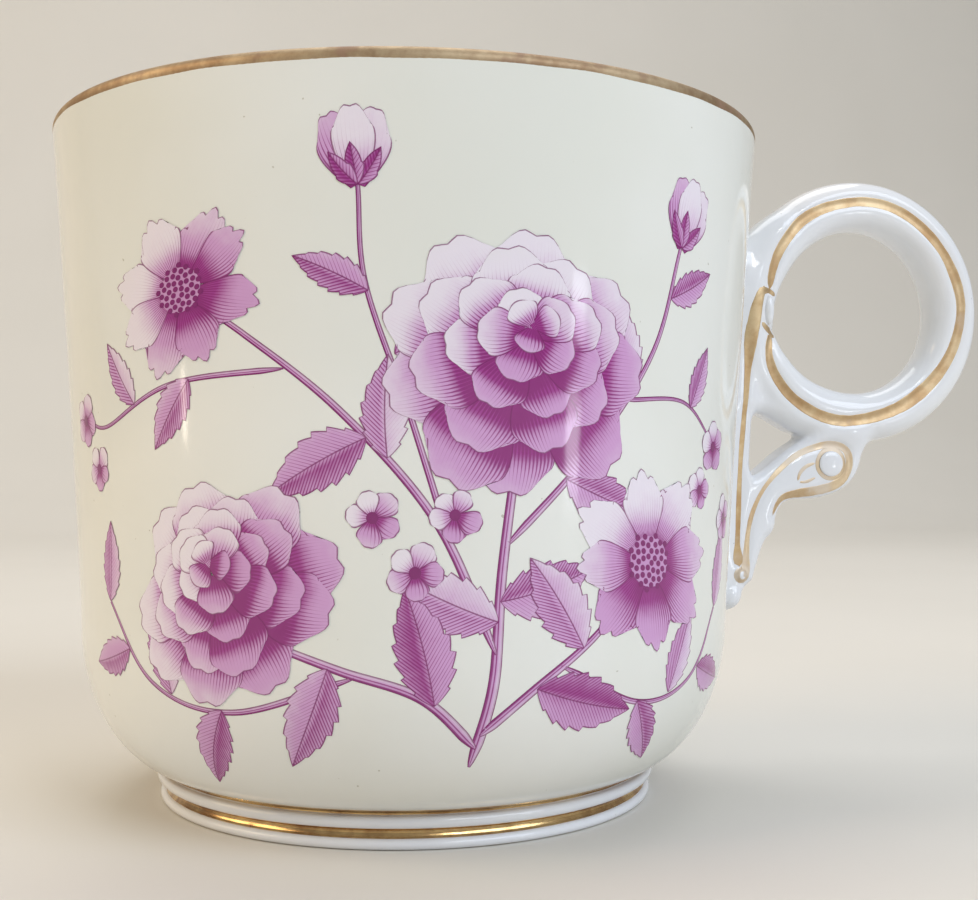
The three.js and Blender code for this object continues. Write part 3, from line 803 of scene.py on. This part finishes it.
for label, (places, faces) in (("tie_bead", dome(TIE_BEAD, 0.5, 1.45, 0.5)),
                               ("roundel", dome(ROUNDEL, 1.27, 1.27, 0.28))):
    for face, at in both_faces(places):
        make_piece(f"{label}_{face}_glazed", at, faces, white, [f"{label}_{face}"], "white_glaze")

# %% [markdown]
# ## Ink
# The flowers are a transfer print: an engraver cuts lines into copper, and an inked tissue carries them
# onto the glaze. Tone comes from lines that thicken, not from paint. The material below therefore draws
# with four numbers that every place of the print holds: its distance from the outline, a stripe count,
# how thick the stripes are, and how much thin wash lies under them.

# %% Ink material
INK_NUMBERS = ("edge", "hatch", "shade", "wash")
ink, start, surface = new_material("printed_ink")
edge, hatch, shade, wash = (start.value(key) for key in INK_NUMBERS)
worn = start.noise(700.0, 3.0, 0.6)
stripe = hatch.maths("PINGPONG", hatch, 0.5) * 2.0
engraved = (1.0 - (stripe - shade).ramp(-0.2, 0.2)) * (0.62 + worn * 0.5)
contour = (1.0 - edge.ramp(0.05, 0.15)) * (0.65 + worn * 0.4)
depth = wash + worn * 0.16 - 0.08
tint = clay(start, *IVORY_TONES)
for pale_end, deep_end, tone in ((0.0, 0.24, "#ebe4ef"), (0.24, 0.6, "#cf9fd0"), (0.6, 1.0, "#a03c90")):
    tint = depth.ramp(pale_end, deep_end).blend(tint, colour(tone))
contour.blend(engraved.blend(tint, colour("#8a2875")), colour("#7a2065")).into(surface, "Base Color")
glaze_skin(start, surface)
print("ink", ink.name, "reads", INK_NUMBERS)

# %% [markdown]
# ## Petals
# A petal is a sheet of two parameters, u from base to tip and v from side to side, drawn on the unrolled
# wall. Its width swells with u, and its tip is pulled back by a curve in v that makes it round, notched
# or toothed. Lines of equal v are the engraver's stripes.

# %% Petals
PETAL_STRIPE = 0.6
sheets = []


def lay(s, z, lift, edge, hatch, shade, wash):
    """Keep one sheet of the print: its place on the unrolled wall, its lift and its four ink numbers."""
    sheets.append([np.broadcast_to(a, s.shape) for a in (s, z, lift, edge, hatch, shade, wash)])


def seat(s, z, turn=0.0, squash=1.0):
    """A blossom's own plane set on the wall: squeezed along b, turned, and moved to its place."""
    c, n = math.cos(turn), math.sin(turn)
    return lambda a, b: (s + c * a - n * b * squash, z + n * a + c * b * squash)


def petal(place, base, angle, length, width, lift, dark, notch=0.0, teeth=0.0, bend=0.0, neck=0.35, side=1.0,
          hidden=0.0):
    """along = L u (1 - tip(v) u^2), across = v W/2 h(u) + bend L u^2, where h swells and closes again."""
    u, v = np.linspace(0, 1, 12)[:, None], np.linspace(-1, 1, 13)[None]
    tip = 0.3 * v**2 + notch * np.exp(-((v / 0.28) ** 2)) + teeth * (1 - np.abs(np.cos(1.5 * np.pi * v)))
    swell = np.sin(np.pi / 2 * np.clip(u / 0.65, 0, 1))
    half = width / 2 * (neck + (1 - neck) * swell) * (1 - 0.2 * np.clip((u - 0.65) / 0.35, 0, 1) ** 2)
    along, across = length * u * (1 - tip * u**2), v * half + bend * length * u**2
    s, z = place(*(seat(*base, angle)(along, across)))
    rim = np.minimum((1 - np.abs(v)) * half, length * (1 - u) * (1 - tip))
    seen = np.clip((u - hidden) / (1 - hidden), 0, 1)
    shade = (0.55 + 0.6 * dark) * np.exp(-seen / 0.34)
    shade = shade + 0.6 * dark * np.clip(side * v + 0.2, 0, 1) * (1 - 0.5 * seen)
    wash = 0.14 + 0.4 * dark + (0.5 + 0.5 * dark) * np.exp(-seen / 0.32)
    lay(s, z, lift, rim, v * width / PETAL_STRIPE + 0.5, shade - 0.2, wash)


print("a petal's stripes lie", PETAL_STRIPE, "mm apart")

# %% [markdown]
# ## Leaves, stems and dots
# A leaf is the petal's idea with a saw-toothed width and a rib in the middle, and its stripes climb from
# the rib like veins. A stem is a ribbon along a curve. A dot of stipple is a square drawn round.

# %% Leaves, stems and dots
VEIN, STEM_STEPS = 0.34, 60


def leaf(s, z, degrees, length, width, bend=0.0, dark=0.5, teeth=7, lift=0.016):
    """across = v W/2 sin(pi u^0.8) with teeth that lean to the tip, and stripes that climb from the rib."""
    u, v = np.linspace(0, 1, 8 * teeth + 1)[:, None], np.linspace(-1, 1, 9)[None]
    tooth = 0.86 + 0.2 * ((u * teeth) % 1) * np.clip(6 * (1 - u), 0, 1)
    half = width / 2 * np.sin(np.pi * u**0.8) ** 0.9 * tooth
    across = v * half + bend * length * (u**2 - u * 0.2)
    rim = np.minimum((1 - np.abs(v)) * half, np.abs(v) * half * 1.3 + 0.03)
    shade = np.where(v > 0, 0.5 + 0.45 * dark, 0.06 + 0.5 * dark) * (1 - 0.35 * np.abs(v))
    veins = (length * u - np.abs(v) * half * 1.1) / VEIN
    wash = (0.22 + 0.62 * dark + 0.22 * (v > 0)) * (1.1 - 0.3 * np.abs(v))
    lay(*seat(s, z, math.radians(degrees))(length * u, across), lift, rim, veins, shade - 0.2, wash)


def stem(points, thick, thin, lift=0.01):
    """A ribbon along a curve that thins evenly, lit from one side."""
    line = smooth_line(points, STEM_STEPS)
    ahead = np.gradient(line, axis=0)
    side = np.stack([-ahead[:, 1], ahead[:, 0]], -1) / np.linalg.norm(ahead, axis=1)[:, None]
    taper = np.clip(np.arange(STEM_STEPS) / 5 + 0.05, 0, 1) ** 0.5
    half, v = (np.linspace(thick, thin, STEM_STEPS) * taper)[:, None] / 2, np.linspace(-1, 1, 5)[None]
    s, z = line[:, :1] + side[:, :1] * half * v, line[:, 1:] + side[:, 1:] * half * v
    lay(s, z, lift, (1 - np.abs(v)) * half, v * 1.5, 0.35 + 0.45 * v, 0.6 + 0.3 * v)


def dot(place, a, b, radius, lift, wash=1.0):
    """A disc: the square of u and v drawn round, so that it has no middle point to pinch."""
    u, v = np.linspace(-1, 1, 5)[:, None], np.linspace(-1, 1, 5)[None]
    s, z = place(a + radius * u * np.sqrt(1 - v**2 / 2), b + radius * v * np.sqrt(1 - u**2 / 2))
    lay(s, z, lift, 1.0 - 0.95 * wash, 0.0, -0.2, wash)


def spray(stems, leaves):
    """Stems, then leaves over them at one of seven levels, so that two that cross seldom share a level."""
    for row in stems:
        stem(*row)
    for row in leaves:
        leaf(*row, lift=0.016 + 0.004 * (len(sheets) % 7))


print("a leaf's veins lie", VEIN, "mm apart")

# %% [markdown]
# ## Blossoms
# A full blossom is five rings of broad notched petals, each ring smaller and higher, moved a little so
# that the flower turns towards us. An open one is a single ring of toothed petals round a stippled eye.
# Buds and five-petalled stars fill in. Petals turned from the light are darker.

# %% Blossoms
LIGHT_FROM = 2.2
FULL_RINGS = ((9, 0.25, 0.75, 0.62, 0.09), (8, 0.17, 0.62, 0.55, 0.08), (7, 0.1, 0.48, 0.44, 0.07),
              (5, 0.04, 0.34, 0.36, 0.06), (3, 0.02, 0.2, 0.26, 0.0))
STIPPLE, GOLDEN_TURN = 46, 2.39996


def ring_of_petals(place, count, start, length, width, lift, turn, rng, centre=(0.0, 0.0), **shape):
    """Petals round a centre, a little uneven in turn and size, with neighbours at different levels."""
    for i in range(count):
        angle = turn + 2 * math.pi * i / count + rng.normal(0, 0.07)
        base = (centre[0] + start * math.cos(angle), centre[1] + start * math.sin(angle))
        dark = 0.5 - 0.42 * math.cos(angle - LIGHT_FROM) + rng.normal(0, 0.06)
        level = 2 if count % 2 and i == count - 1 else i % 2
        size = 1 + rng.normal(0, 0.05)
        side = 1 if math.sin(angle - LIGHT_FROM) > 0 else -1
        petal(place, base, angle, length * size, width * size, lift + 0.004 * level,
              float(np.clip(dark, 0, 1)), bend=rng.normal(0, 0.06), side=side, **shape)


def full_blossom(s, z, size, turn, squash, seed):
    """Rings of petals: their number, then start, length, width and notch as shares of the radius."""
    rng, place, r = np.random.default_rng(seed), seat(s, z, turn, squash), size / 2
    for k, (count, start, length, width, notch) in enumerate(FULL_RINGS):
        ring_of_petals(place, count, start * r, length * r, width * r, 0.05 + 0.013 * k, 0.4 * k + seed, rng,
                       (0.0, 0.07 * r * k), notch=notch, hidden=0.45 if k < 3 else 0.2)


def open_blossom(s, z, size, turn, squash, seed):
    """Eight toothed petals, and an eye of dots along a spiral: radius with the root of the count."""
    rng, place, r = np.random.default_rng(seed), seat(s, z, turn, squash), size / 2
    ring_of_petals(place, 8, 0.2 * r, 0.8 * r, 0.6 * r, 0.05, seed, rng, teeth=0.11, neck=0.3, hidden=0.08)
    dot(place, 0, 0, 0.27 * r, 0.064, 0.7)
    for i in range(STIPPLE):
        far, around = 0.3 * r * math.sqrt((i + 0.5) / STIPPLE), i * GOLDEN_TURN
        dot(place, far * math.cos(around), far * math.sin(around), 0.024 * r + 0.07, 0.07 + 0.0001 * i)


def star(s, z, size, seed):
    """Five broad petals and a dot."""
    rng, place, r = np.random.default_rng(seed), seat(s, z), size / 2
    ring_of_petals(place, 5, 0.12 * r, 0.88 * r, 0.86 * r, 0.034, seed, rng, neck=0.3, notch=0.05)
    dot(place, 0, 0, 0.2 * r, 0.05)


def bud(s, z, degrees, size, seed):
    """Three closed petals in a cup of pointed sepals."""
    rng, place, way = np.random.default_rng(seed), seat(s, z), math.radians(degrees)
    for turn, level, dark in ((0.42, 0, 0.75), (-0.42, 1, 0.35), (0.0, 2, 0.2)):
        petal(place, (0, 0), way + turn, size * (1 - 0.1 * abs(turn)), size * 0.52, 0.03 + 0.004 * level,
              dark, bend=-0.22 * turn, notch=0.05 + 0.03 * rng.random())
    for turn in (0.75, -0.75, 0.1):
        leaf(s, z, degrees + math.degrees(turn), size * 0.52, size * 0.24, -0.2 * turn, 0.85, 2,
             0.046 + 0.002 * turn)


print("a full blossom has", sum(ring[0] for ring in FULL_RINGS), "petals")

# %% [markdown]
# ## Wrapping the print
# The tissue is pressed round the bowl. Each sheet keeps its shape, and the distance s along the tissue
# becomes an angle round the cup. The sheets lie about a tenth of a millimetre over the glaze at most, so
# they borrow the wall's normals, and light runs over print and wall without a seam.

# %% Wrapping
PRINT_RADIUS = 30.0


def print_piece(name, degrees):
    """The sheets kept so far, wrapped round the bowl: angle = middle + s / radius, radius = wall + lift."""
    count, places, faces, numbers = 0, [], [], []
    for s, z, lift, *tones in sheets:
        radius, angle = wall_radius(z) + lift, math.radians(degrees) + s / PRINT_RADIUS
        places.append(np.stack([radius * np.cos(angle), radius * np.sin(angle), z], -1).reshape(-1, 3))
        faces.append(grid_faces(*s.shape) + count)
        numbers.append(np.stack(tones, -1).reshape(-1, 4))
        count += s.size
    sheets.clear()
    places, faces, numbers = np.concatenate(places), np.concatenate(faces), np.concatenate(numbers)
    a, b, c, d = (places[faces[:, i]] for i in range(4))
    outward = (np.cross(c - a, d - b)[:, :2] * a[:, :2]).sum(1) > 0
    faces = np.where(outward[:, None], faces, faces[:, ::-1])
    made = make_piece(name, places, faces, ink, slot="ivory_glaze", solid=False,
                      values=dict(zip(INK_NUMBERS, numbers.T)))
    flat = np.empty(len(made.data.vertices) * 3)
    made.data.vertices.foreach_get("co", flat)
    x, y, z = flat.reshape(-1, 3).T / MM
    slope = (wall_radius(z + 0.05) - wall_radius(z - 0.05)) / 0.1
    away = np.stack([x - AXIS_X, y], -1) / np.hypot(x - AXIS_X, y)[:, None]
    normal = np.concatenate([away, -slope[:, None]], 1)
    normal /= np.linalg.norm(normal, axis=1)[:, None]
    made.data.normals_split_custom_set_from_vertices(normal.tolist())


print("a degree round the cup takes", round(PRINT_RADIUS * math.radians(1), 2), "mm of tissue")

# %% [markdown]
# ## The bouquet in front
# The bouquet springs from one place near the foot and fans out to two full blossoms, two open ones, stars
# and buds. A stem is given by its points and its two widths, and a leaf by its place, direction, length,
# width, bend and darkness.

# %% Front bouquet
spray((
    ([(5, 7.5), (6.5, 14), (7, 22), (8, 31)], 1.0, 0.7),
    ([(5.4, 9), (1, 13), (-5, 15), (-11, 17)], 0.9, 0.6),
    ([(5.6, 10), (10, 13.5), (15, 17), (18, 20)], 0.8, 0.55),
    ([(6.7, 16), (2, 26), (-5, 34), (-12, 39.5), (-17, 42.6)], 0.8, 0.45),
    ([(3, 24.5), (0, 34), (-3, 43), (-3.5, 50)], 0.55, 0.35),
    ([(7.2, 24), (14, 31), (20, 39), (22.5, 47)], 0.65, 0.4),
    ([(-4, 14.5), (-14, 11.5), (-22, 13), (-28, 19)], 0.6, 0.3),
    ([(12, 15), (20, 11.5), (27, 12.5), (32, 18)], 0.6, 0.3),
    ([(-9, 37), (-19, 36), (-27, 33), (-31, 33.5)], 0.5, 0.3),
    ([(17, 35), (24, 35), (29, 32)], 0.4, 0.25),
), (
    (2, 12.4, 100, 9, 4.6, 0.1, 0.75), (-6, 15.2, 250, 8.5, 4.2, -0.1, 0.55),
    (10, 13.4, -20, 9.5, 4.6, 0.12, 0.8), (14, 16.2, 120, 8.5, 4.4, 0.1, 0.4),
    (6.9, 20, 10, 8, 4.2, 0.15, 0.6), (6.8, 18.5, 160, 8.5, 4.4, -0.1, 0.35),
    (-3, 32, 205, 8.5, 4.2, 0.1, 0.65), (-1.5, 30.5, 95, 7.5, 3.6, -0.12, 0.3),
    (-1, 38, 30, 6.5, 3.2, 0.1, 0.45), (-2.8, 42.5, 150, 6, 2.8, 0.1, 0.6),
    (12, 29, -25, 7.5, 3.8, 0.1, 0.55), (18, 36, 110, 6.5, 3.2, -0.1, 0.3),
    (21.6, 43, 20, 6, 2.8, 0.1, 0.6), (-15, 11.6, 240, 7, 3.6, 0.1, 0.7),
    (-20, 12.4, 100, 7.5, 3.6, 0.12, 0.35), (-25, 15.5, 200, 6.5, 3.2, -0.1, 0.6),
    (-28, 19, 80, 6.5, 3.0, 0.1, 0.5), (20, 11.6, -60, 6.5, 3.4, 0.1, 0.65),
    (24, 11.8, 70, 7, 3.4, -0.1, 0.4), (28.5, 13.4, -20, 7, 3.2, 0.1, 0.7),
    (32, 18, 75, 7, 3.0, 0.1, 0.45), (-17, 36.4, 230, 6.5, 3.2, 0.1, 0.55),
    (-23, 34.6, 130, 6, 2.8, -0.1, 0.3), (25, 34.6, 60, 5.5, 2.6, 0.1, 0.55),
))
full_blossom(8, 37.5, 22, -0.35, 0.92, 1)
full_blossom(-14.5, 20.5, 19.5, 0.5, 0.88, 2)
open_blossom(20.5, 22.5, 17, -0.5, 0.85, 3)
open_blossom(-17.5, 43, 15, 0.45, 0.8, 4)
front_stars = ((0.5, 22.2, 4.6), (3.4, 26.4, 4.2), (-2.6, 26.2, 4.4), (29.5, 31.5, 4.6), (27.2, 28, 3.8),
               (-31.5, 33.5, 4.6), (-29, 29.6, 4.0), (33.5, 25.5, 4.2))
for i, row in enumerate(front_stars):
    star(*row, 20 + i)
bud(-3.5, 50, 95, 6, 31)
bud(22.6, 47, 75, 6, 32)
print_piece("flowers_front", -100)

# %% [markdown]
# ## The spray behind
# The far side can't be seen in the photograph. A smaller spray of the same flowers stands there, which is
# a guess.

# %% Back spray
spray((
    ([(-4, 8), (-4, 16), (-1, 25)], 0.9, 0.6), ([(-4, 11), (-9, 16), (-13, 21)], 0.7, 0.5),
    ([(-4, 13), (3, 17), (11, 22)], 0.6, 0.4), ([(-3, 20), (4, 34), (9, 44)], 0.5, 0.35),
), (
    (-4.2, 14, 160, 8, 4, 0.1, 0.6), (-3.6, 16, 20, 8, 4, -0.1, 0.4), (-8, 15, 230, 7, 3.6, 0.1, 0.7),
    (3, 17, -30, 7.5, 3.8, 0.1, 0.6), (6, 19, 90, 7, 3.4, -0.1, 0.35), (7, 40, 150, 6, 2.8, 0.1, 0.5),
))
full_blossom(-1, 30, 19, 0.3, 0.9, 5)
open_blossom(-15, 24, 15, -0.4, 0.85, 6)
for i, row in enumerate(((12.5, 23.5, 4.6), (9.6, 27, 4.0), (14.5, 28.5, 4.2))):
    star(*row, 40 + i)
bud(9.2, 44, 70, 6, 41)
print_piece("flowers_back", 100)

# %% [markdown]
# ## The floor
# A pale floor that sweeps up into a backdrop, as a photographer's paper does, so that from the front no
# edge shows behind the cup. It is a profile carried sideways, and isn't part of the object.

# %% Floor
STAGE_REACH, STAGE_NEAR, BEND_START, BEND_RADIUS = 900.0, -300.0, 380.0, 240.0
floor_material, start, surface = new_material("pale_floor")
start.noise(14.0, 4.0).blend(colour("#dfdcd6"), colour("#d8d5ce")).into(surface, "Base Color")
surface.inputs["Roughness"].default_value = 0.75
level = np.linspace(STAGE_NEAR, BEND_START, 30)
sweep_line = np.concatenate([
    [[-STAGE_REACH, 0.0]], np.stack([level, 0 * level], -1),
    arc((BEND_START, BEND_RADIUS), BEND_RADIUS, BEND_RADIUS, -math.pi / 2, 0, 24)[1:],
    [[BEND_START + BEND_RADIUS, STAGE_REACH]]])
sideways = np.linspace(-STAGE_REACH, STAGE_REACH, 40)
sweep = np.stack(np.broadcast_arrays(sideways, sweep_line[:, :1], sweep_line[:, 1:]), -1)
floor_mesh = bpy.data.meshes.new("floor")
floor_mesh.from_pydata((sweep.reshape(-1, 3) * MM).tolist(), [], grid_faces(*sweep.shape[:2]).tolist())
floor_mesh.shade_smooth()
floor_mesh.materials.append(floor_material)
floor = bpy.data.objects.new("floor", floor_mesh)
scene = bpy.context.scene
scene.collection.objects.link(floor)
print("floor of", len(floor_mesh.polygons), "faces")

# %% [markdown]
# ## Light
# An even pale surround and three large soft lamps: a cool one from the right, a warm one from the left
# and a white one above. Small weak ones show only as gleams: two panes at the right and one at the left in
# the glaze, and a sparkle on the gold.

# %% Light
world = bpy.data.worlds.new("surround")
world.use_nodes = True
world.node_tree.nodes["Background"].inputs["Color"].default_value = colour("#f1f1ee")
world.node_tree.nodes["Background"].inputs["Strength"].default_value = 0.42
scene.world = world


def lamp(name, place, aim, wide, tall, watts, tint):
    """A rectangular soft lamp at a place, turned to face another."""
    light = bpy.data.lights.new(name, "AREA")
    light.shape, light.size, light.size_y = "RECTANGLE", wide, tall
    light.energy, light.color = watts, colour(tint)[:3]
    made = bpy.data.objects.new(name, light)
    made.location = place
    made.rotation_euler = (Vector(aim) - Vector(place)).to_track_quat("-Z", "Y").to_euler()
    scene.collection.objects.link(made)


lamp("window", (0.36, -0.5, 0.46), (0, 0, 0.03), 0.45, 0.45, 2.75, "#e6f0ff")
lamp("fill", (-0.62, 0.0, 0.4), (0, 0, 0.03), 0.45, 0.45, 2.3, "#ffe2ba")
lamp("top", (0.05, 0.2, 0.62), (0, 0, 0.03), 0.5, 0.4, 1.6, "#ffffff")
lamp("upper_pane", (0.134, -0.172, 0.041), (0, 0, 0.04), 0.018, 0.014, 0.0034, "#f2f7ff")
lamp("lower_pane", (0.134, -0.172, 0.014), (0, 0, 0.02), 0.018, 0.02, 0.0085, "#f2f7ff")
lamp("side_pane", (-0.22, -0.034, 0.0245), (0, 0, 0.03), 0.007, 0.013, 0.0024, "#fff0dc")
lamp("sparkle", (0.1, -0.52, 0.36), (0.03, 0, 0.04), 0.07, 0.1, 0.25, "#fafcff")
print("lamps", [light.name for light in bpy.data.lights])

# %% [markdown]
# ## The camera
# It stands where it stood for the photograph: close in front of the bowl, a little left of square to the
# handle, and halfway up, so that the rim arches upwards and the foot downwards. Its place and angles come
# from a fit to the rim, the foot and both sides of the wall.

# %% Camera
LENS, SENSOR = 50.1, 36.0
TURN, PITCH, ROLL = (math.radians(degrees) for degrees in (76.61, 0.31, 0.13))
STAND = Vector((AXIS_X - 22.3, -126.469, 30.59)) * MM
camera = bpy.data.cameras.new("camera")
camera.lens, camera.sensor_width, camera.clip_start = LENS, SENSOR, 0.01
camera_object = bpy.data.objects.new("camera", camera)
scene.collection.objects.link(camera_object)
ahead = Vector((math.cos(TURN) * math.cos(PITCH), math.sin(TURN) * math.cos(PITCH), math.sin(PITCH)))
right = Vector((math.sin(TURN), -math.cos(TURN), 0.0))
up = right.cross(ahead)
right, up = right * math.cos(ROLL) + up * math.sin(ROLL), up * math.cos(ROLL) - right * math.sin(ROLL)
camera_object.matrix_world = Matrix.Translation(STAND) @ Matrix((right, up, -ahead)).transposed().to_4x4()
scene.camera = camera_object
scene.view_settings.view_transform = "Standard"
print("camera at", [round(c, 4) for c in STAND], "metres")

# %% [markdown]
